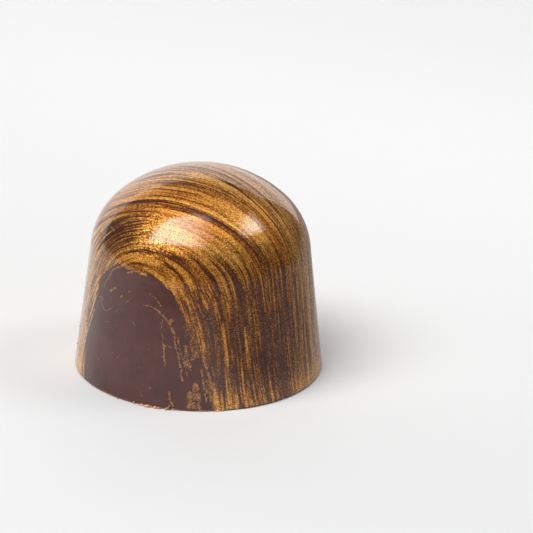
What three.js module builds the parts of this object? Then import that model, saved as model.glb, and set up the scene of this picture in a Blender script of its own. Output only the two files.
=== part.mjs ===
// A moulded chocolate praline: one solid piece with a drafted round wall, a rounded shoulder, a low crown
// and a flat foot that was scraped level in the mould. Millimetres, +Z up, origin at the centre of the foot.
import * as THREE from "three";

// Driving dimensions
const footRadius = 14.0; // where the wall runs out at the foot
const wallTopRadius = 12.36;
const wallHeight = 13.89;
const height = 23.25;
const shoulderRadius = 8.276;
const shoulderStart = THREE.MathUtils.degToRad(3.42); // the shoulder's first slope, against the wall's 6.7 degrees
const footEdgeRadius = 0.22; // the worn edge between the wall and the foot

// Fineness of the faceted solid
const facetsRound = 96;
const wallSteps = 5;
const footEdgeSteps = 4;
const shoulderSteps = 10;
const crownSteps = 9;

// Chocolate of the shell, as seen under its brushed gold dust
const brushedGold = new THREE.Color(0.42, 0.24, 0.1);

// Points of an arc in the profile's plane, where x is the radius and y the height. The first point is left out.
function arcPoints(centre, radius, startAngle, endAngle, steps) {
  return Array.from({ length: steps }, (_, i) => {
    const angle = THREE.MathUtils.lerp(startAngle, endAngle, (i + 1) / steps);
    return new THREE.Vector2(
      centre.x + radius * Math.cos(angle),
      centre.y + radius * Math.sin(angle),
    );
  });
}

// The shoulder's arc starts at the top of the wall. The crown's arc has its centre on the axis, passes through
// the top of the praline and touches the shoulder's arc where the two share a tangent.
function domeArcs() {
  const shoulder = new THREE.Vector2(
    wallTopRadius - shoulderRadius * Math.cos(shoulderStart),
    wallHeight - shoulderRadius * Math.sin(shoulderStart),
  );
  const drop = shoulder.y - height;
  const crownRadius =
    (shoulderRadius ** 2 - shoulder.x ** 2 - drop ** 2) /
    (2 * (drop + shoulderRadius));
  const crown = new THREE.Vector2(0, height - crownRadius);
  const meeting = Math.atan2(shoulder.y - crown.y, shoulder.x);
  return { shoulder, crown, crownRadius, meeting };
}

// The rounded edge of the foot: its arc touches the flat foot and the wall.
function footEdge() {
  const draft = Math.atan2(footRadius - wallTopRadius, wallHeight);
  const centre = new THREE.Vector2(
    footRadius -
      footEdgeRadius * Math.tan(draft) -
      footEdgeRadius / Math.cos(draft),
    footEdgeRadius,
  );
  return { centre, draft };
}

// Half of the praline's section, from the middle of the foot round to the middle of the crown.
function halfSection() {
  const { shoulder, crown, crownRadius, meeting } = domeArcs();
  const edge = footEdge();
  const points = [
    new THREE.Vector2(0, 0),
    new THREE.Vector2(edge.centre.x, 0),
    ...arcPoints(
      edge.centre,
      footEdgeRadius,
      -Math.PI / 2,
      edge.draft,
      footEdgeSteps,
    ),
  ];
  const wallFoot = points.at(-1);
  const wallTop = new THREE.Vector2(wallTopRadius, wallHeight);
  for (let i = 1; i <= wallSteps; i++) {
    points.push(wallFoot.clone().lerp(wallTop, i / wallSteps));
  }
  points.push(
    ...arcPoints(
      shoulder,
      shoulderRadius,
      shoulderStart,
      meeting,
      shoulderSteps,
    ),
    ...arcPoints(crown, crownRadius, meeting, Math.PI / 2, crownSteps),
  );
  points.at(-1).x = 0;
  return points;
}

// The lathe turns the half section round Y, so it is stood up to make the axis +Z.
function pralineGeometry() {
  const turned = new THREE.LatheGeometry(halfSection(), facetsRound);
  turned.rotateX(Math.PI / 2);
  return turned;
}

const praline = new THREE.Mesh(
  pralineGeometry(),
  new THREE.MeshStandardMaterial({
    color: brushedGold,
    roughness: 0.35,
    metalness: 0.4,
  }),
);
praline.name = "praline";

const part = new THREE.Group();
part.add(praline);

export default part;
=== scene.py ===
"""A moulded chocolate praline, brushed inside its mould with gold dust before the chocolate went in.

The dust lies in arches round a bare dark side, as if a fingertip had wiped it round the cavity. Lengths here
are in millimetres and are turned into metres where a mesh, a light or the camera is made.
"""

import math

import bmesh
import bpy
import numpy as np
from mathutils import Matrix, Vector


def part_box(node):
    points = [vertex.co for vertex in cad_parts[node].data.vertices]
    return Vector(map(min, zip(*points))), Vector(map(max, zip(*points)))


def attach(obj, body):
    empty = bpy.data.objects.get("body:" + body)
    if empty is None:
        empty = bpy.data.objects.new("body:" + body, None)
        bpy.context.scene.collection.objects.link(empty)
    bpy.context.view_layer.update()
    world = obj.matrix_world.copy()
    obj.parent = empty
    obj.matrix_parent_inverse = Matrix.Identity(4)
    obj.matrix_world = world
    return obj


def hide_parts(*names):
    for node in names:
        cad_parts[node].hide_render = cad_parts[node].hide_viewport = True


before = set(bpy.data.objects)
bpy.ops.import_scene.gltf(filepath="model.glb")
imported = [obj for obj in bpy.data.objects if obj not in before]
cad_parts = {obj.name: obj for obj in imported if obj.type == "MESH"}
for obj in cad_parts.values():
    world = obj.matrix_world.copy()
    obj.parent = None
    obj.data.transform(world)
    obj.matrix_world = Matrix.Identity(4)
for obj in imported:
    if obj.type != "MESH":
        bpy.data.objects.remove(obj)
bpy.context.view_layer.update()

MM = 0.001  # metres in a millimetre
UPWARDS = (0, 0, 1)

# The section of the solid. Its height is read from the praline's part in model.glb.
HEIGHT = (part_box("praline")[1] / MM).z
FOOT_RADIUS = 14.0
WALL_TOP_RADIUS = 12.36
WALL_HEIGHT = 13.89
SHOULDER_RADIUS = 8.276
SHOULDER_START = math.radians(3.42)
FOOT_EDGE_RADIUS = 0.22

# Fineness of the shell's mesh
ROUND_STEPS = 512
SECTION_STEP = 0.2
FOOT_EDGE_STEP = 0.07
FOOT_RINGS = 22

# The scraped edge of the foot: how far it stands out all round and where the crumbs broke off
BURR = 0.008
ROUGH_BURR = 0.022
ROUGH_MIDDLE = 250  # degrees round from +X
ROUGH_WIDTH = 20
BURR_WAVES = (9, 14, 23, 37, 61, 88, 120)  # waves round the foot
BURR_HEIGHT = 0.45

# The camera, as fitted to the outline of the praline in the photograph
PHOTO_SIZE = 533  # pixels
FOCAL = 3500  # pixels
CAMERA_DISTANCE = 397.1
CAMERA_RISE = math.radians(23.26)
CAMERA_ROLL = math.radians(1.083)
FOOT_CENTRE_PIXEL = (198.5, 361.5)
SENSOR = 36.0

# The brush strokes arch round an axis that points at the bare side. The numbers bend them as the brush did.
STROKE_TURN = math.radians(42.4)  # round from the front towards the left
HUB_HEIGHT = 8.0  # the height that the strokes turn round
STROKE_CLOSING = 0.00101  # how the arches close up towards the crown and the foot
STROKE_LEAN = 0.038
STROKE_SKEW = 0.054
STROKE_BOW = 0.0124
STROKE_TWIST = 0.0082
STROKE_SWEEP = (0.00033, 0.00061, 0.00082)
SHELL_ROUND = 13.5  # the radius of a ball of about the praline's size
BACK_LEAN = 0.06  # behind, the arches stand on the foot
BACK_ROUND = 2.6
HIDDEN_LEAN = 0.35  # out of the photograph's sight, they stand wider and lower
HIDDEN_LEVEL = 6.0
HIDDEN_ROUND = 4.2
HIDDEN_SINK = 9.0
LANE_RISE = 1.7  # how far the strokes leave the even arches to the left of the top
LANE_DIP = 0.4  # and to the right of it
STROKE_ARM = 12.0  # the length of a stroke for each radian round the hub
BARE_REACH = 6.55  # how far the bare side reaches from its middle

# Furrows where the bristles lifted the dust: reach, start and end along the stroke, half width, depth
FURROWS = [
    (7.8, -10.5, -5.0, 0.26, 0.30),
    (8.6, -18.5, -13.5, 0.22, 0.75),
    (9.6, -14.0, -6.5, 0.12, 0.70),
    (10.6, -17.0, -8.5, 0.06, 0.55),
    (10.8, -1.5, 6.0, 1.60, 0.18),
    (11.55, 2.0, 8.5, 0.26, 0.55),
    (8.2, -2.5, 1.0, 0.10, 0.50),
    (9.1, -1.5, 4.0, 0.07, 0.50),
    (11.2, -26.0, -21.5, 0.12, 0.80),
    (11.7, -15.0, -13.0, 0.14, 0.60),
    (12.0, -2.0, 5.0, 0.12, 0.55),
    (12.05, -22.5, -17.5, 0.20, 0.60),
    (12.6, -2.5, 6.0, 0.07, 0.60),
    (12.75, -15.0, -10.5, 0.12, 0.75),
    (13.15, -24.5, -18.0, 0.12, 0.60),
    (13.65, -23.5, -17.5, 0.14, 0.60),
    (14.45, -12.0, 8.0, 0.08, 0.65),
    (15.2, -24.0, -18.5, 0.22, 0.60),
    (14.6, -29.0, -15.5, 2.20, 0.44),
    (15.4, -6.0, 6.0, 0.16, 0.16),
    (16.3, -4.0, 3.0, 0.06, 0.55),
    (17.75, -10.0, 2.5, 0.07, 0.80),
    (18.8, -9.0, 0.5, 0.06, 0.50),
    (19.9, -11.0, -1.5, 0.20, 0.50),
    (21.5, -9.0, 4.0, 0.16, 0.50),
    (22.6, -9.0, 2.0, 0.14, 0.50),
]

# Ridges where the dust lies thickest, in the same terms
RIDGES = [
    (7.0, -21.0, -8.0, 0.30, 0.20),
    (7.5, -6.5, 2.5, 0.36, 0.35),
    (9.25, -22.5, -16.0, 0.16, 0.55),
    (12.4, -11.5, -8.0, 0.22, 0.45),
    (14.9, -10.0, 6.0, 0.14, 0.40),
    # This ridge lies where the second highlight falls: its thicker dust is partly painted highlight
    (16.4, -11.0, 4.0, 1.00, 0.20),
    (19.2, -4.5, 2.5, 0.35, 0.25),
]

# Places where the dust lies most evenly, which are where the two highlights fall: the evening there is
# partly painted highlight. Reach, middle along the stroke, half width, half length
EVEN_PLACES_AT_HIGHLIGHTS = [
    (11.3, -4.8, 3.3, 6.0),
    (17.0, -8.5, 2.4, 5.0),
]

# Noise drawn out along the strokes: cycles for each millimetre across and along them, then a seed
SWELLS = (0.8, 0.05, 3.1)
STREAKS = (3.1, 0.07, 71.9)
THIN_LINES = (1.5, 0.05, 41.7)
THINNER_LINES = (2.8, 0.09, 17.3)
LINE_STRENGTHS = (0.9, 0.12, 63.2)
BRISTLES = (4.0, 0.18, 29.9)
WOBBLES = (0.6, 0.5, 8.8)
TORN_EDGES = (2.2, 0.16, 90.1)
COPPERY_PATCHES = (0.35, 0.08, 55.5)

# Colours. Each list runs from the darkest to the palest.
DUST_TONES = [
    (0.0, (0.10, 0.030, 0.008)),
    (0.45, (0.42, 0.160, 0.029)),
    (0.75, (0.78, 0.343, 0.064)),
    (1.0, (1.0, 0.58, 0.14)),
]
LOOSE_DUST_TONES = [
    (0.3, (0.34, 0.13, 0.040)),
    (0.5, (0.58, 0.25, 0.075)),
    (0.7, (0.85, 0.46, 0.15)),
]
CRUMB_TONES = [
    (0.3, (0.34, 0.11, 0.05)),
    (0.5, (0.80, 0.38, 0.21)),
    (0.7, (0.90, 0.68, 0.55)),
]
COPPERY_TINT = (1.0, 0.86, 0.66, 1.0)
BARE_CHOCOLATE = [(0.070, 0.018, 0.014, 1.0), (0.105, 0.031, 0.024, 1.0)]
# The chocolate between the streaks: painted shade darker than the bare side, then a pale haze of flakes that
# is partly painted sheen
BETWEEN_STREAKS_SHADE_AND_SHEEN = [(0.060, 0.018, 0.011, 1.0), (0.30, 0.135, 0.070, 1.0)]
GILDED_RIM = (0.060, 0.020, 0.013, 1.0)
BARE_RIM = (0.42, 0.14, 0.060, 1.0)
SCRAPED_FOOT = [(0.075, 0.028, 0.022, 1.0), (0.12, 0.055, 0.045, 1.0)]
FIBRE_COLOURS = [(0.26, 0.21, 0.19, 1.0), (0.50, 0.44, 0.40, 1.0)]

# The gloss that the mould gave chocolate and dust alike, by the shader's sockets
MOULD_GLOSS = {
    "Roughness": 0.43,
    "Specular_IOR_Level": 0.1,
    "Coat_Weight": 1.0,
    "Coat_Roughness": 0.02,
    "Coat_IOR": 1.5,
}
DUST_METALLIC = 0.6
FLAKES = 11.0  # flakes of dust in a millimetre
FLAKE_TILT = 0.35

# Stray smears of dust on the bare side: half width, how densely grains lie, then points by side and height
SMEARS = [
    (0.06, 0.7, [(-3.0, 11.3), (-3.6, 11.4), (-4.1, 11.3)]),
    (0.10, 1.3, [(-4.1, 11.3), (-4.7, 11.0), (-5.1, 10.7), (-5.5, 10.4), (-5.8, 9.9)]),
    (0.13, 1.2, [(-5.8, 9.9), (-6.2, 9.5), (-6.4, 9.0), (-6.7, 8.5), (-6.6, 8.2)]),
    (0.20, 1.5, [(-5.95, 9.9), (-6.25, 10.3)]),
    (0.09, 0.9, [(-6.6, 8.2), (-6.8, 7.3), (-7.1, 6.6), (-7.3, 5.7), (-7.6, 4.7), (-7.6, 4.0), (-8.0, 3.2)]),
    (0.07, 0.8, [(-6.9, 8.5), (-7.2, 7.1), (-7.5, 6.3), (-7.8, 5.4), (-8.1, 4.4), (-8.2, 3.9)]),
    (0.07, 0.4, [(-5.2, 10.2), (-5.2, 9.4), (-5.4, 8.3), (-5.5, 7.6)]),
    (0.09, 1.2, [(-5.5, 7.6), (-5.7, 6.9), (-5.8, 6.0), (-6.0, 4.9)]),
    (0.07, 1.0, [(-5.6, 7.2), (-6.0, 7.2), (-6.5, 7.1)]),
    (0.20, 0.6, [(-7.8, 7.5), (-7.9, 6.7), (-7.9, 6.1), (-8.1, 5.4), (-8.4, 4.7)]),
    (0.14, 0.6, [(-8.5, 6.6), (-8.4, 5.8), (-8.3, 5.0)]),
    (0.09, 0.8, [(-8.7, 6.8), (-8.6, 5.9)]),
    (0.07, 1.4, [(-9.3, 4.8), (-9.5, 3.8), (-9.7, 2.7)]),
    (0.06, 0.9, [(-9.7, 2.7), (-9.9, 1.8), (-10.1, 0.9)]),
    (0.11, 1.1, [(-9.4, 5.8), (-9.7, 4.9), (-10.0, 3.9), (-10.3, 2.7), (-10.6, 2.1)]),
    (0.05, 0.7, [(-9.8, 3.7), (-9.9, 2.4)]),
    (0.16, 1.1, [(-9.0, 3.3), (-8.8, 2.4), (-8.5, 1.9), (-8.7, 1.1), (-8.6, 0.4)]),
    (0.13, 1.0, [(-9.0, 3.3), (-9.2, 2.6), (-9.4, 1.7), (-9.5, 0.9), (-9.6, 0.3)]),
    (0.30, 0.7, [(-9.0, 2.4), (-9.0, 1.6), (-9.1, 0.7)]),
    (0.26, 1.2, [(-8.8, 0.6), (-9.5, 0.6)]),
    (0.09, 1.3, [(-6.7, 2.2), (-6.8, 1.5), (-7.0, 0.9), (-7.3, 0.5)]),
    (0.06, 1.1, [(-6.5, 1.3), (-6.9, 1.2)]),
    (0.11, 2.2, [(-4.53, 2.27), (-4.77, 2.13)]),
    (0.11, 1.2, [(2.0, 11.6), (1.1, 12.3)]),
    (0.13, 2.4, [(0.15, 11.45), (0.05, 11.7)]),
    (0.10, 1.8, [(-0.85, 12.25), (-0.95, 12.45)]),
    (0.08, 0.35, [(-3.4, 12.8), (-4.3, 12.3), (-4.9, 11.6)]),
    (0.05, 0.4, [(1.0, 9.4), (0.4, 10.0)]),
    (0.10, 1.0, [(3.1, 11.6), (2.9, 12.3), (2.4, 13.1), (1.8, 14.1), (1.1, 14.6), (-0.3, 15.3)]),
    (0.12, 1.0, [(3.5, 13.2), (2.3, 14.3), (1.0, 15.3)]),
    (0.09, 0.8, [(-0.4, 14.4), (-1.3, 14.8), (-2.1, 15.0)]),
]
DUST_DENSITY = 430  # grains for each square millimetre of half a smear, where it is plain
SINGLE_GRAINS = 95  # places tried for grains that lie by themselves

# Pale fibres that lie on the shell, by side and height
FIBRES = [
    [(3.5, 10.1), (3.1, 9.6), (2.6, 9.25), (2.2, 9.3), (1.8, 9.6), (1.4, 9.85)],
    [(3.9, 10.3), (3.5, 10.45), (3.1, 10.2)],
    [(-0.6, 11.0), (-0.8, 11.3), (-1.1, 11.4)],
    [(-1.85, 9.25), (-2.0, 9.0), (-2.2, 8.75)],
    [(4.3, 18.0), (3.7, 17.95), (3.1, 17.8)],
]
FIBRE_RADIUS = 0.023

# One more fibre stands at the foot's edge: how far out of it and how high
STANDING_FIBRE_TURN = math.radians(309)
STANDING_FIBRE = [(0.0, 0.05), (0.04, 0.4), (-0.03, 0.75)]

# Crumbs from the scraped foot: degrees round from +X, height of the middle, length and thickness
CRUMBS = [
    (186.0, 2.6, 0.30, 0.23),
    (187.0, 4.8, 0.22, 0.20),
    (231.0, 0.08, 0.30, 0.20),
    (240.0, 0.20, 0.30, 0.29),
    (243.5, 0.10, 0.75, 0.29),
    (246.2, 0.12, 0.95, 0.35),
    (248.2, 0.10, 0.50, 0.23),
    (250.5, 0.14, 0.40, 0.41),
    (252.0, 0.12, 0.50, 0.32),
    (253.2, 0.10, 0.30, 0.26),
    (255.5, 0.12, 0.34, 0.35),
    (256.6, 0.30, 0.30, 0.32),
    (257.2, 0.50, 0.26, 0.26),
    (258.9, 0.14, 0.26, 0.26),
    (277.6, 0.06, 0.35, 0.17),
    (279.2, 0.08, 0.60, 0.23),
    (281.2, 0.07, 0.45, 0.20),
    (288.0, 0.08, 0.22, 0.17),
    (295.2, 0.72, 0.20, 0.23),
    (313.0, 0.10, 0.22, 0.17),
]
CRUMB_CORNERS = 16
CRUMB_LEAN = 0.2

# The studio. A glowing panel's corners are azimuth and elevation, as bearing takes them.
PANEL_DISTANCE = 500
KEY_CORNERS = [(-109, 31), (-82, 60), (75, 77), (165, 40)]
KEY_BRIGHTNESS = 8.2
KEY_SOFTNESS = (80, 60, 350, 70)
SIDE_CORNERS = [(127, 48), (86, 69), (52, 50), (81, 33)]
SIDE_BRIGHTNESS = 8.7
SIDE_SOFTNESS = (160, 120, 110, 100)
BACKDROP_DISTANCE = 600
BACKDROP_LIFT = 16
BACKDROP_CORNERS = [(-1.62, -0.03), (0.70, -0.03), (0.70, 0.85), (-0.62, 0.85)]  # in backdrop distances
BACKDROP_BRIGHTNESS = 1.08
FILL_SIZE = 0.8  # metres
FILL_ENERGY = 1.15
FILL_PLACE = (0.1, 0.7, 0.9)  # metres
FLOOR_REACH = 3000
WHITE = (1, 1, 1, 1)
ROOM_COLOUR = (0.05, 0.05, 0.05, 1)
SEEN_ROOM_COLOUR = (0.9, 0.9, 0.9, 1)
# The floor's paper, darker in front and paler behind: painted light
FLOOR_COLOURS_PAINTED_PALER_BEHIND = [(0.76, 0.76, 0.76, 1), (0.92, 0.92, 0.92, 1)]
# The floor's colour in the gloss where painted shade darkens it
FLOOR_PAINTED_SHADE_IN_GLOSS = (0.06, 0.06, 0.06, 1)


def metres(point):
    return Vector(point) * MM


class Value:
    """A number, colour or vector that changes over a surface. Arithmetic on numbers adds Math nodes."""

    def __init__(self, finish, socket):
        self.finish = finish
        self.socket = socket

    def math(self, operation, first, second):
        return self.finish.node("Math", {"operation": operation}, {0: first, 1: second})

    def __add__(self, other):
        return self.math("ADD", self, other)

    def __radd__(self, other):
        return self.math("ADD", other, self)

    def __sub__(self, other):
        return self.math("SUBTRACT", self, other)

    def __rsub__(self, other):
        return self.math("SUBTRACT", other, self)

    def __mul__(self, other):
        return self.math("MULTIPLY", self, other)

    def __rmul__(self, other):
        return self.math("MULTIPLY", other, self)

    def __abs__(self):
        return self.finish.node("Math", {"operation": "ABSOLUTE"}, {0: self})


class Finish:
    """A material or the world, and the one method that adds nodes to it."""

    def __init__(self, name, kind="materials"):
        self.owner = getattr(bpy.data, kind).new(name)
        self.owner.use_nodes = True
        self.tree = self.owner.node_tree
        self.tree.nodes.clear()

    def node(self, kind, settings=None, sockets=None, output=0):
        made = self.tree.nodes.new("ShaderNode" + kind)
        for name, setting in (settings or {}).items():
            if name == "stops":
                self.set_stops(made.color_ramp, setting)
            else:
                setattr(made, name, setting)
        for name, given in (sockets or {}).items():
            if isinstance(given, Value):
                self.tree.links.new(given.socket, made.inputs[name])
            else:
                made.inputs[name].default_value = given
        return Value(self, made.outputs[output]) if made.outputs else None

    @staticmethod
    def set_stops(ramp, stops):
        while len(ramp.elements) < len(stops):
            ramp.elements.new(1.0)
        for element, (place, colour) in zip(ramp.elements, stops):
            element.position = place
            element.color = (*colour, 1.0)

    def place(self):
        """The point on the surface, in millimetres."""
        point = self.node("TexCoord", output="Object")
        return self.vector_math("SCALE", {0: point, "Scale": 1 / MM})

    def vector_math(self, operation, sockets, output=0):
        return self.node("VectorMath", {"operation": operation}, sockets, output)

    def along(self, point, axis):
        """How far a point lies along an axis."""
        return self.vector_math("DOT_PRODUCT", {0: point, 1: axis}, "Value")

    def vector(self, x, y, z):
        return self.node("CombineXYZ", None, {0: x, 1: y, 2: z})

    def noise(self, where, scale=1.0, detail=2.0, roughness=0.5):
        sockets = {"Vector": where, "Scale": scale, "Detail": detail, "Roughness": roughness}
        return self.node("TexNoise", None, sockets)

    def ramp(self, value, stops):
        return self.node("ValToRGB", {"stops": stops}, {0: value})

    def step(self, value, low, high):
        """0 below low, 1 above high and smooth between them."""
        smooth = {"interpolation_type": "SMOOTHSTEP"}
        return self.node("MapRange", smooth, {0: value, 1: low, 2: high})

    def mix(self, share, first, second, blend="MIX"):
        settings = {"data_type": "RGBA", "blend_type": blend}
        return self.node("Mix", settings, {0: share, 6: first, 7: second}, 2)

    def surface(self, normal=None, **sockets):
        """Ends the tree in one Principled shader. Socket names have _ for each space."""
        named = {name.replace("_", " "): given for name, given in sockets.items()}
        if normal is not None:
            named["Normal"] = normal
        shader = self.node("BsdfPrincipled", None, named)
        self.node("OutputMaterial", None, {"Surface": shader})
        return self.owner

    def glow(self, colour, brightness):
        """Ends the tree in light."""
        light = self.node("Emission", None, {"Color": colour, "Strength": brightness})
        self.node("OutputMaterial", None, {"Surface": light})
        return self.owner


def stroke_frame():
    """The level axis that the strokes arch round, and the level direction across it."""
    towards = Vector((-math.sin(STROKE_TURN), -math.cos(STROKE_TURN), 0))
    return towards, towards.cross(Vector((0, 0, 1)))


def stroke_places(f, point):
    """How far a point is from the middle of the bare side, and how far along its own stroke."""
    towards, across = stroke_frame()
    out = f.along(point, towards)
    side = f.along(point, across)
    up = f.along(point, UPWARDS) - HUB_HEIGHT
    late, wide, high = STROKE_SWEEP
    behind = f.step(out, 3.0, -9.0)
    hidden = f.step(f.along(point, (0, 1, 0)), 0.5, 9.5)
    rank = (
        out * (1 - up * up * (1 - behind) * STROKE_CLOSING)
        + up * (behind * BACK_LEAN + STROKE_LEAN)
        - side * STROKE_SKEW
        + side * side * STROKE_BOW
        - side * up * STROKE_TWIST
        - side * up * up * late
        - side * side * side * wide
        - side * side * up * high
        + hidden * (up - HIDDEN_LEVEL) * HIDDEN_LEAN
    )
    round_there = behind * BACK_ROUND + hidden * HIDDEN_ROUND + SHELL_ROUND
    share = f.node("Math", {"operation": "DIVIDE"}, {0: rank, 1: round_there})
    angle = f.node("Math", {"operation": "ARCCOSINE"}, {0: share})
    turn = f.node("Math", {"operation": "ARCTAN2"}, {0: side, 1: up + hidden * HIDDEN_SINK})
    return angle * round_there, turn * STROKE_ARM


def lane_of(f, reach, run):
    """The stroke that a point lies on. At both sides of the top, strokes leave the even arches a little."""
    rise = f.step(run, -3.0, 9.0) * f.step(reach, 14.2, 10.5) * LANE_RISE
    dip = f.step(run, -26.0, -16.5) * f.step(run, -9.0, -14.5) * f.step(reach, 8.0, 9.5) * LANE_DIP
    return reach + rise - dip


def drawn_noise(f, reach, run, across, along, seed, detail=2.0, roughness=0.5):
    """Noise drawn out along the strokes. Its two scales are in cycles for each millimetre."""
    where = f.vector(reach * across + seed, run * along, seed)
    return f.noise(where, 1.0, detail, roughness)


def hairlines(f, reach, run, across, along, seed, width):
    """1 on fine lines that wander along the strokes and 0 between them."""
    wander = drawn_noise(f, reach, run, across, along, seed, 1.0)
    return f.step(abs(wander - 0.5), width, width * 0.35)


def stroke_marks(f, reach, run, marks):
    """The sum of single marks along the strokes, each with soft ends."""
    total = 0.0
    for place, start, end, half_width, depth in marks:
        beside = f.step(abs(reach - place), half_width * 1.35, half_width * 0.6)
        middle, half = (start + end) / 2, (end - start) / 2
        within = f.step(abs(run - middle), half, max(0.0, half - 1.6))
        total = beside * within * depth + total
    return total


def gold_load(f, point, reach, run, dry, even):
    """How thickly the gold dust lies: 1 hides the chocolate and 0.4 lets it show.

    The dust is scarce where the brush ran dry, and smoother where it lies even.
    """
    low = f.step(f.along(point, UPWARDS), 3.4, 0.4) * 0.35
    lane = lane_of(f, reach, run)
    swell = drawn_noise(f, lane, run, *SWELLS) - 0.5
    streak = drawn_noise(f, lane, run, *STREAKS, 3.0, 0.7) - 0.5
    thin = hairlines(f, lane, run, *THIN_LINES, 0.12)
    thinner = hairlines(f, lane, run, *THINNER_LINES, 0.15)
    strength = f.step(drawn_noise(f, lane, run, *LINE_STRENGTHS), 0.35, 0.65)
    bristle = drawn_noise(f, lane, run, *BRISTLES, 2.0, 0.65) - 0.5
    grain = f.noise(point, 8.0, 2.0, 0.6) - 0.5
    wobble = drawn_noise(f, lane, run, *WOBBLES) - 0.5
    near = lane + wobble * 0.35
    drawn = (
        1.2
        + swell * (1.0 - dry * 0.55 - even * 0.5)
        + streak * (0.95 - dry * 0.30 - even * 0.35)
        - thin * strength * 0.42
        - thinner * 0.32
        + bristle * (dry * 1.2 + 1.4)
        - dry * 0.20
        - stroke_marks(f, near, run, FURROWS) * (1.0 - dry * 0.3)
        + stroke_marks(f, near, run, RIDGES)
    )
    capped = f.node("Math", {"operation": "MINIMUM"}, {0: drawn + low, 1: 1.25})
    return capped + grain * (dry * 0.6 + 0.6)


def evened_at_highlights(f, load, reach, run):
    """The load with half of its unevenness taken out at the even places, which partly paints the highlights'
    smooth look.
    """
    for place, middle, half_width, half_length in EVEN_PLACES_AT_HIGHLIGHTS:
        beside = f.step(abs(reach - place), half_width, half_width * 0.45)
        within = f.step(abs(run - middle), half_length, half_length * 0.5)
        share = beside * within * 0.5
        load = load * (1.0 - share) + share * 0.95
    return load


def bare_edge(f, run):
    """How far the bare side reaches: less at the top of the arch and more where the brush lifted off."""
    top = f.step(run, -9.0, -4.0) * f.step(run, 1.0, -2.0) * 0.2
    left = f.step(run, -1.0, 4.0) * f.step(run, 15.0, 8.0) * 0.75
    low_left = f.step(run, 14.0, 23.0) * 0.7
    low_right = f.step(run, -19.8, -23.0) * 1.2 - f.step(run, -23.5, -27.5) * 0.6
    return left + low_right - top - low_left + BARE_REACH


def brushed_share(f, reach, run, even, torn, bloom):
    """0 on the bare side and 1 where the brush went. The edge is torn, and faint low down."""
    faint = f.step(abs(run + 4.5), 14.0, 21.5)
    past_edge = reach - bare_edge(f, run) + torn * 1.4 + (bloom - 0.5) * faint * (4.0 - even * 2.6)
    return f.step(past_edge + even * 1.1, -0.2, faint * 0.9 + even + 0.2)


def dust_colour(f, reach, run, dry, load, flake):
    """Gold that is paler where the dust lies thick, and coppery in patches."""
    tone = f.step(load + (flake - 0.5) * 0.85 - dry * 0.12, 0.3, 1.6)
    gold = f.ramp(tone, DUST_TONES)
    apex = f.step(reach, 8.6, 7.6) * f.step(run, -10.0, -5.0) * f.step(run, 3.0, 0.0)
    coppery = drawn_noise(f, reach, run, *COPPERY_PATCHES) + apex * 0.3 + dry * 0.08
    warm = f.mix(1.0, gold, COPPERY_TINT, "MULTIPLY")
    return f.mix(f.step(coppery, 0.44, 0.66), gold, warm)


def ground_colour(f, dry, brushed, torn, bloom, flake):
    """The chocolate under the dust. Between the streaks it is painted darker than the bare side as shade;
    where the brush ran dry, flakes give it a pale haze that is partly painted sheen.
    """
    chocolate = f.mix(f.step(bloom, 0.3, 0.7), *BARE_CHOCOLATE)
    # Flakes where the brush ran dry; their pale haze is partly painted sheen
    dusted_sheen = dry * f.step(torn, -0.20, 0.12) * f.step(flake, 0.45, 0.95)
    return f.mix(brushed, chocolate, f.mix(dusted_sheen, *BETWEEN_STREAKS_SHADE_AND_SHEEN))


def flaked_normal(f, flakes, gold):
    """The shell's normal, tilted another way by each flake of dust."""
    tilt = f.vector_math("SUBTRACT", {0: flakes, 1: (0.5, 0.5, 0.5)})
    tilt = f.vector_math("SCALE", {0: tilt, "Scale": gold * FLAKE_TILT})
    upright = f.node("NewGeometry", output="Normal")
    tilted = f.vector_math("ADD", {0: upright, 1: tilt})
    return f.vector_math("NORMALIZE", {0: tilted})


def gilded_chocolate():
    """Gold dust in brushed arches over dark chocolate, under the gloss that the mould gave both."""
    f = Finish("gilded_chocolate")
    point = f.place()
    reach, run = stroke_places(f, point)
    flakes = f.node("TexVoronoi", None, {"Vector": point, "Scale": FLAKES}, "Color")
    flake = f.node("SeparateColor", None, {0: flakes})
    dry = f.step(run, -8.0, -15.0) * f.step(reach, 25.0, 18.0)
    even = f.step(run, 8.0, 15.0) * f.step(reach, 12.0, 8.0)
    load = evened_at_highlights(f, gold_load(f, point, reach, run, dry, even), reach, run)
    torn = drawn_noise(f, lane_of(f, reach, run), run, *TORN_EDGES, 4.0, 0.65) - 0.5
    bloom = f.noise(point, 0.35, 5.0, 0.75)
    brushed = brushed_share(f, reach, run, even, torn, bloom)
    hides = dry * 0.60 + even * 0.35 + 0.66
    gold = f.step(load - (1.0 - brushed) * 1.6, 0.30 - dry * 0.30, hides)
    dust = dust_colour(f, reach, run, dry, load, flake)
    ground = ground_colour(f, dry, brushed, torn, bloom, flake)
    colour = f.mix(gold, ground, dust)
    rim = f.step(f.along(point, UPWARDS) + torn * 0.5, 0.22, 0.10)
    colour = f.mix(rim, colour, f.mix(brushed, BARE_RIM, GILDED_RIM))
    gold = gold * (1.0 - rim)
    normal = flaked_normal(f, flakes, gold)
    return f.surface(normal, Base_Color=colour, Metallic=gold * DUST_METALLIC, **MOULD_GLOSS)


def scraped_chocolate():
    """The foot, scraped level in the mould."""
    f = Finish("scraped_chocolate")
    stretched = f.vector_math("MULTIPLY", {0: f.place(), 1: (0.15, 3.0, 1)})
    scrape = f.noise(stretched, 1.0, 3.0)
    bumps = f.node("Bump", None, {"Strength": 0.4, "Distance": 0.0001, "Height": scrape})
    return f.surface(bumps, Base_Color=f.mix(scrape, *SCRAPED_FOOT), Roughness=0.4)


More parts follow.
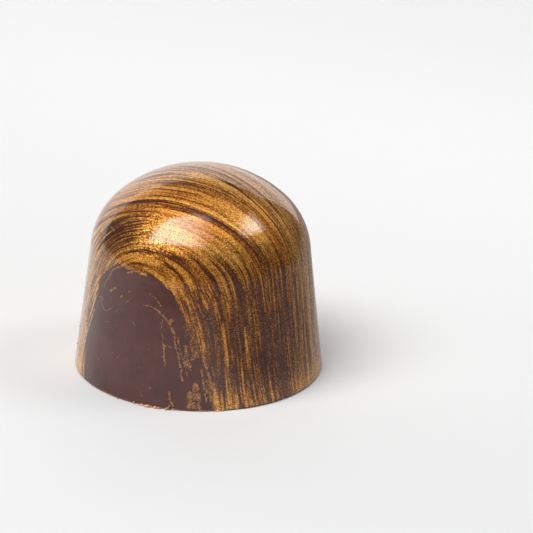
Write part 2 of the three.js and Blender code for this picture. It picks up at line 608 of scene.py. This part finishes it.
def dome_arcs():
    """The centres of the shoulder's and crown's arcs, the crown's radius and the angle where they meet."""
    shoulder_x = WALL_TOP_RADIUS - SHOULDER_RADIUS * math.cos(SHOULDER_START)
    shoulder_z = WALL_HEIGHT - SHOULDER_RADIUS * math.sin(SHOULDER_START)
    drop = shoulder_z - HEIGHT
    rest = SHOULDER_RADIUS**2 - shoulder_x**2 - drop**2
    crown_radius = rest / (2 * (drop + SHOULDER_RADIUS))
    crown_z = HEIGHT - crown_radius
    meeting = math.atan2(shoulder_z - crown_z, shoulder_x)
    return (shoulder_x, shoulder_z), (0.0, crown_z), crown_radius, meeting


def arc(centre, radius, start, end, step=SECTION_STEP):
    """Points of an arc in the section, about a step apart. The first point is left out."""
    count = max(4, round(radius * abs(end - start) / step))
    angles = np.linspace(start, end, count + 1)[1:]
    x, z = centre
    return np.stack([x + radius * np.cos(angles), z + radius * np.sin(angles)], 1)


def half_section():
    """Radius and height from the middle of the foot round to the crown."""
    draft = math.atan2(FOOT_RADIUS - WALL_TOP_RADIUS, WALL_HEIGHT)
    edge_x = FOOT_RADIUS - FOOT_EDGE_RADIUS * (math.tan(draft) + 1 / math.cos(draft))
    foot = np.stack([np.linspace(0, edge_x, FOOT_RINGS + 1)[1:], np.zeros(FOOT_RINGS)], 1)
    edge = (edge_x, FOOT_EDGE_RADIUS)
    edge_arc = arc(edge, FOOT_EDGE_RADIUS, -math.pi / 2, draft, FOOT_EDGE_STEP)
    wall_foot, wall_top = edge_arc[-1], np.array([WALL_TOP_RADIUS, WALL_HEIGHT])
    shares = np.linspace(0, 1, round(WALL_HEIGHT / SECTION_STEP) + 1)[1:, None]
    wall = wall_foot + (wall_top - wall_foot) * shares
    shoulder, crown, crown_radius, meeting = dome_arcs()
    shoulder_arc = arc(shoulder, SHOULDER_RADIUS, SHOULDER_START, meeting)
    crown_arc = arc(crown, crown_radius, meeting, math.pi / 2)[:-1]
    return np.vstack([foot, edge_arc, wall, shoulder_arc, crown_arc])


SECTION = half_section()


def foot_burr(turns):
    """How far the scraped edge of the foot stands out. It is roughest where the crumbs broke off."""
    random = np.random.default_rng(7)
    rough = np.exp(-(((np.degrees(turns) - ROUGH_MIDDLE) / ROUGH_WIDTH) ** 2))
    waves = sum(
        np.sin(turns * count + random.uniform(0, 2 * math.pi)) * random.uniform(0.3, 1.0)
        for count in BURR_WAVES
    )
    return waves * (BURR + ROUGH_BURR * rough)


def shell_points():
    """The section's points, turned round the axis, and then the middles of the foot and the crown."""
    turns = np.arange(ROUND_STEPS) * 2 * math.pi / ROUND_STEPS
    radius, level = SECTION[:, 0][:, None], SECTION[:, 1][:, None]
    low = np.clip(1 - level / BURR_HEIGHT, 0, 1)
    near_edge = low * np.clip((radius - FOOT_RADIUS + 1) / 0.8, 0, 1)
    radius = radius + near_edge * foot_burr(turns)
    levels = np.broadcast_to(level, radius.shape)
    points = np.stack([radius * np.cos(turns), radius * np.sin(turns), levels], -1).reshape(-1, 3)
    return np.vstack([points, [[0, 0, 0], [0, 0, HEIGHT]]])


def shell_mesh():
    """The praline's whole surface. The foot's faces have the second material slot."""
    points = shell_points()
    foot_middle, crown_middle = len(points) - 2, len(points) - 1
    rings = len(SECTION)
    faces, slots = [], []
    for ring in range(rings - 1):
        for step in range(ROUND_STEPS):
            after = (step + 1) % ROUND_STEPS
            low, high = ring * ROUND_STEPS, (ring + 1) * ROUND_STEPS
            faces.append((low + step, low + after, high + after, high + step))
            slots.append(1 if ring < FOOT_RINGS else 0)
    top = (rings - 1) * ROUND_STEPS
    for step in range(ROUND_STEPS):
        after = (step + 1) % ROUND_STEPS
        faces.append((foot_middle, after, step))
        slots.append(1)
        faces.append((top + step, top + after, crown_middle))
        slots.append(0)
    mesh = bpy.data.meshes.new("praline_shell")
    mesh.from_pydata((points * MM).tolist(), [], faces)
    mesh.polygons.foreach_set("material_index", slots)
    mesh.polygons.foreach_set("use_smooth", [True] * len(faces))
    mesh.update()
    return mesh


def add_object(name, data):
    made = bpy.data.objects.new(name, data)
    bpy.context.scene.collection.objects.link(made)
    return made


def add_shell():
    shell = add_object("praline_shell", shell_mesh())
    shell.data.materials.append(gilded_chocolate())
    shell.data.materials.append(scraped_chocolate())
    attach(shell, "root")
    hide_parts("praline")


def shell_radius(height):
    """The radius of the shell at a height above the foot's edge."""
    above = SECTION[FOOT_RINGS:]
    return float(np.interp(height, above[:, 1], above[:, 0]))


def place_on_bare_side(side, height, lift=0.0):
    """A point of the shell on the bare side, from its place across the strokes' axis and its height."""
    towards, across = stroke_frame()
    out = math.sqrt(shell_radius(height) ** 2 - side**2)
    flat = towards * out + across * side
    return flat * (1 + lift / flat.length) + Vector((0, 0, height))


def smooth_line(points, between=5):
    """Points of a smooth line through the given ones."""
    ends = [2 * points[0] - points[1], *points, 2 * points[-1] - points[-2]]
    line = []
    for before, start, end, after in zip(ends, ends[1:], ends[2:], ends[3:]):
        for step in range(between):
            t = step / between
            line.append(
                start
                + (end - before) * (t / 2)
                + (2 * before - 5 * start + 4 * end - after) * (t * t / 2)
                + (3 * start - before - 3 * end + after) * (t**3 / 2)
            )
    return [*line, points[-1]]


def add_tube(mesh, line, radius, sides=6):
    """Adds a thin round tube along a line to a mesh, with closed and tapered ends."""
    rings = []
    for index, point in enumerate(line):
        way = (line[min(index + 1, len(line) - 1)] - line[max(index - 1, 0)]).normalized()
        first = way.cross(Vector((0.31, 0.22, 0.92))).normalized()
        second = way.cross(first)
        thin = radius * (0.45 if index in (0, len(line) - 1) else 1.0)
        angles = [2 * math.pi * side / sides for side in range(sides)]
        places = [point + (first * math.cos(a) + second * math.sin(a)) * thin for a in angles]
        rings.append([mesh.verts.new(metres(place)) for place in places])
    for near, far in zip(rings, rings[1:]):
        for side in range(sides):
            after = (side + 1) % sides
            mesh.faces.new((near[side], near[after], far[after], far[side]))
    mesh.faces.new(rings[0][::-1])
    mesh.faces.new(rings[-1])


def finish_piece(name, mesh, material, smooth):
    """Makes a piece of the praline from a mesh in the making."""
    bmesh.ops.recalc_face_normals(mesh, faces=mesh.faces)
    data = bpy.data.meshes.new(name)
    mesh.to_mesh(data)
    mesh.free()
    data.polygons.foreach_set("use_smooth", [smooth] * len(data.polygons))
    data.materials.append(material)
    piece = add_object(name, data)
    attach(piece, "root")


def pale_fibre():
    """Pale lint."""
    f = Finish("pale_fibre")
    mottle = f.noise(f.place(), 6.0)
    return f.surface(Base_Color=f.mix(mottle, *FIBRE_COLOURS), Roughness=0.8)


def broken_chocolate():
    """Crumbs with gold dust rubbed into them, paler where they broke."""
    f = Finish("broken_chocolate")
    point = f.place()
    colour = f.ramp(f.noise(point, 1.6, 3.0, 0.6), CRUMB_TONES)
    rough = f.noise(point, 9.0, 3.0)
    bumps = f.node("Bump", None, {"Strength": 0.5, "Distance": 0.00004, "Height": rough})
    return f.surface(bumps, Base_Color=colour, Roughness=0.6)


def add_fibres():
    """The fibres that lie on the shell, and the one that stands at the foot's edge."""
    mesh = bmesh.new()
    for points in FIBRES:
        placed = [place_on_bare_side(*point, FIBRE_RADIUS * 0.6) for point in points]
        add_tube(mesh, smooth_line(placed), FIBRE_RADIUS)
    flat = Vector((math.cos(STANDING_FIBRE_TURN), math.sin(STANDING_FIBRE_TURN), 0))
    standing = [flat * (FOOT_RADIUS + out) + Vector((0, 0, up)) for out, up in STANDING_FIBRE]
    add_tube(mesh, smooth_line(standing), FIBRE_RADIUS)
    finish_piece("pale_fibres", mesh, pale_fibre(), True)


def loose_dust():
    """Gold dust that lies by itself, under the same gloss as the rest."""
    f = Finish("loose_dust")
    colour = f.ramp(f.noise(f.place(), 5.0, 2.0, 0.6), LOOSE_DUST_TONES)
    return f.surface(Base_Color=colour, Metallic=DUST_METALLIC, **MOULD_GLOSS)


def add_fleck(mesh, random, spot, way, length, width):
    """Adds a thin flat grain of dust, sunk a little into the shell, to a mesh."""
    along = way.normalized()
    beside = Vector((-along.y, along.x, 0))
    rim = []
    for corner in range(6):
        angle = math.pi / 3 * (corner + random.uniform(-0.35, 0.35))
        far = random.uniform(0.75, 1.2) / 2
        ahead = along * (math.cos(angle) * far * length)
        rim.append(spot + ahead + beside * (math.sin(angle) * far * width))
    tops = [mesh.verts.new(metres(place_on_bare_side(place.x, place.y, 0.012))) for place in rim]
    roots = [mesh.verts.new(metres(place_on_bare_side(place.x, place.y, -0.02))) for place in rim]
    mesh.faces.new(tops)
    mesh.faces.new(roots[::-1])
    for corner in range(6):
        after = (corner + 1) % 6
        mesh.faces.new((tops[corner], roots[corner], roots[after], tops[after]))


def add_smear(mesh, random, half_width, plain, points):
    """Adds the grains of one smear. They lie densest at its middle and in knots along it."""
    line = smooth_line([Vector((*point, 0)) for point in points])
    phase = random.uniform(0, 2 * math.pi)
    gone = 0.0
    for start, end in zip(line, line[1:]):
        way = end - start
        gone += way.length
        thick = 0.85 + 0.35 * math.sin(gone * 5.1 + phase) + 0.3 * math.sin(gone * 11.7 + 2 * phase)
        count = random.poisson(max(0.1, thick) * plain * way.length * half_width * DUST_DENSITY)
        beside = Vector((-way.y, way.x, 0)).normalized()
        for share, off, size in random.uniform((0, -1, 0), (1, 1, 1), (count, 3)):
            spot = start + way * share + beside * (off * abs(off) ** 0.3 * half_width)
            add_fleck(mesh, random, spot, way, 0.05 + 0.10 * size, 0.035 + 0.045 * size)


def add_dust():
    """Stray smears of dust on the bare side, and single grains in an oval between them."""
    random = np.random.default_rng(5)
    mesh = bmesh.new()
    for half_width, plain, points in SMEARS:
        add_smear(mesh, random, half_width, plain, points)
    tried = random.uniform((-6.5, 1.0, 0), (3.5, 13.0, 1), (SINGLE_GRAINS, 3))
    for side, height, size in tried:
        if ((side + 1.5) / 5.0) ** 2 + ((height - 5) / 8) ** 2 < 1:
            size = 0.03 + 0.05 * size**3
            add_fleck(mesh, random, Vector((side, height, 0)), Vector((0.3, 1, 0)), size * 1.3, size)
    finish_piece("gold_smears", mesh, loose_dust(), False)


def add_crumbs():
    """Small angular crumbs, each partly sunk into the shell's edge."""
    random = np.random.default_rng(11)
    mesh = bmesh.new()
    for degrees, height, length, thickness in CRUMBS:
        turn = math.radians(degrees)
        out = Vector((math.cos(turn), math.sin(turn), 0))
        along = Vector((-out.y, out.x, 0))
        lean = along * math.cos(CRUMB_LEAN) + Vector((0, 0, math.sin(CRUMB_LEAN)))
        middle = out * (shell_radius(max(height, FOOT_EDGE_RADIUS)) + thickness * 0.35)
        middle.z = height
        corners = []
        for x, y, z in random.normal(size=(CRUMB_CORNERS, 3)):
            size = math.sqrt(x * x + y * y + z * z)
            place = middle + lean * (x / size * length / 2) + out * (y / size * thickness / 2)
            place.z = max(0.0, place.z + z / size * thickness / 2)
            corners.append(mesh.verts.new(metres(place)))
        hull = bmesh.ops.convex_hull(mesh, input=corners)
        spare = hull["geom_interior"] + hull["geom_unused"]
        unused = {corner for corner in spare if isinstance(corner, bmesh.types.BMVert)}
        bmesh.ops.delete(mesh, geom=list(unused), context="VERTS")
    finish_piece("foot_crumbs", mesh, broken_chocolate(), False)


def add_camera():
    """The camera stands where the photograph's outline of the praline puts it."""
    rise = Vector((0, -math.cos(CAMERA_RISE), math.sin(CAMERA_RISE)))
    ahead = -rise
    right = Vector((1, 0, 0))
    looking = Matrix((right, right.cross(ahead), -ahead))
    middle = PHOTO_SIZE / 2
    across, down = FOOT_CENTRE_PIXEL
    to_foot = Vector((across - middle, middle - down, -FOCAL)).normalized()
    aim = Vector((0, 0, -1)).rotation_difference(to_foot).to_matrix()
    roll = Matrix.Rotation(CAMERA_ROLL, 3, to_foot)
    data = bpy.data.cameras.new("camera")
    data.sensor_width = SENSOR
    data.lens = FOCAL / PHOTO_SIZE * SENSOR
    data.clip_start = 0.01
    camera = add_object("camera", data)
    turn = (roll @ aim @ looking).transposed().to_4x4()
    camera.matrix_world = Matrix.Translation(rise * CAMERA_DISTANCE * MM) @ turn
    bpy.context.scene.camera = camera


def bearing(azimuth, elevation):
    """A direction: azimuth in degrees from +Y towards +X, and elevation above the horizon."""
    a, e = math.radians(azimuth), math.radians(elevation)
    return Vector((math.sin(a) * math.cos(e), math.cos(a) * math.cos(e), math.sin(e)))


def add_sheet(name, corners):
    """A flat face with four corners."""
    mesh = bpy.data.meshes.new(name)
    mesh.from_pydata([metres(corner) for corner in corners], [], [(0, 1, 2, 3)])
    return add_object(name, mesh)


def add_panel(name, corners, brightness, softness):
    """A flat glowing panel that faces the praline. Its corners are bearings from the praline.

    Each edge has a softness: the distance over which the glow grows from nothing to full.
    """
    ways = [bearing(*corner) for corner in corners]
    middle = sum(ways, Vector()).normalized()
    hub = Vector((0, 0, HEIGHT * 0.7))
    flat = [hub + way * (PANEL_DISTANCE / way.dot(middle)) for way in ways]
    panel = add_sheet(name, flat)
    f = Finish(name)
    point = f.place()
    centre = sum(flat, Vector()) / len(flat)
    share = 1.0
    for start, end, soft in zip(flat, flat[1:] + flat[:1], softness):
        inward = middle.cross(end - start).normalized()
        if inward.dot(centre - start) < 0:
            inward = -inward
        depth = f.along(point, inward) - start.dot(inward)
        share = f.step(depth, 0.0, soft) * share
    panel.data.materials.append(f.glow(f.vector(share, share, share), brightness))


def add_fill():
    """Soft light from above that whitens the floor without showing in the gloss."""
    data = bpy.data.lights.new("fill", "AREA")
    data.size = FILL_SIZE
    data.energy = FILL_ENERGY
    fill = add_object("fill", data)
    fill.location = FILL_PLACE
    fill.visible_glossy = False


def add_backdrop_panel():
    """A lit white panel behind the praline, whose edges show in the gloss."""
    away = BACKDROP_DISTANCE
    corners = [(x * away, away, z * away + BACKDROP_LIFT) for x, z in BACKDROP_CORNERS]
    panel = add_sheet("backdrop", corners)
    panel.data.materials.append(Finish("backdrop").glow(WHITE, BACKDROP_BRIGHTNESS))


def floor_paper():
    """Pale paper, painted paler towards the back as painted light. Seen in the praline's gloss it carries
    painted shade: darker with distance towards the front right, as a table fades in a dark room, and darker
    on the right.
    """
    f = Finish("floor_paper")
    point = f.place()
    # Painted shade in the gloss: the floor darkens with distance towards the front right
    ahead = f.step(f.along(point, (0.6, -0.8, 0)), -30.0, 30.0)
    far = f.vector_math("LENGTH", {0: point}, "Value")
    painted_floor_shade = ahead * f.step(far, 30.0, 130.0)
    # Painted shade in the gloss on the floor's right side
    beside = f.step(f.along(point, (1, 0, 0)), 6.0, 26.0) * 0.75
    painted_floor_shade = f.node("Math", {"operation": "MAXIMUM"}, {0: painted_floor_shade, 1: beside})
    mirrored = f.node("LightPath", output="Is Glossy Ray")
    # Painted light: the paper is paler towards the back
    depth = f.step(f.along(point, (0.5, 0.85, 0)), -20.0, 100.0)
    pale = f.mix(depth, *FLOOR_COLOURS_PAINTED_PALER_BEHIND)
    colour = f.mix(painted_floor_shade * mirrored, pale, FLOOR_PAINTED_SHADE_IN_GLOSS)
    return f.surface(Base_Color=colour, Roughness=0.9)


def add_floor():
    """A floor that runs well past the view."""
    reach = FLOOR_REACH
    corners = [(-reach, -reach, 0), (reach, -reach, 0), (reach, reach, 0), (-reach, reach, 0)]
    floor = add_sheet("floor", corners)
    floor.data.materials.append(floor_paper())


def add_world():
    """A dim room, seen as pale by the camera alone."""
    room = Finish("room", "worlds")
    bpy.context.scene.world = room.owner
    seen = room.node("LightPath", output="Is Camera Ray")
    dim = room.node("Background", None, {"Color": ROOM_COLOUR})
    pale = room.node("Background", None, {"Color": SEEN_ROOM_COLOUR})
    either = room.node("MixShader", None, {0: seen, 1: dim, 2: pale})
    room.node("OutputWorld", None, {"Surface": either})


def add_studio():
    add_floor()
    add_backdrop_panel()
    add_world()
    add_panel("key_softbox", KEY_CORNERS, KEY_BRIGHTNESS, KEY_SOFTNESS)
    add_panel("side_softbox", SIDE_CORNERS, SIDE_BRIGHTNESS, SIDE_SOFTNESS)
    add_fill()
    bpy.context.scene.view_settings.view_transform = "Standard"


add_camera()
add_shell()
add_dust()
add_fibres()
add_crumbs()
add_studio()
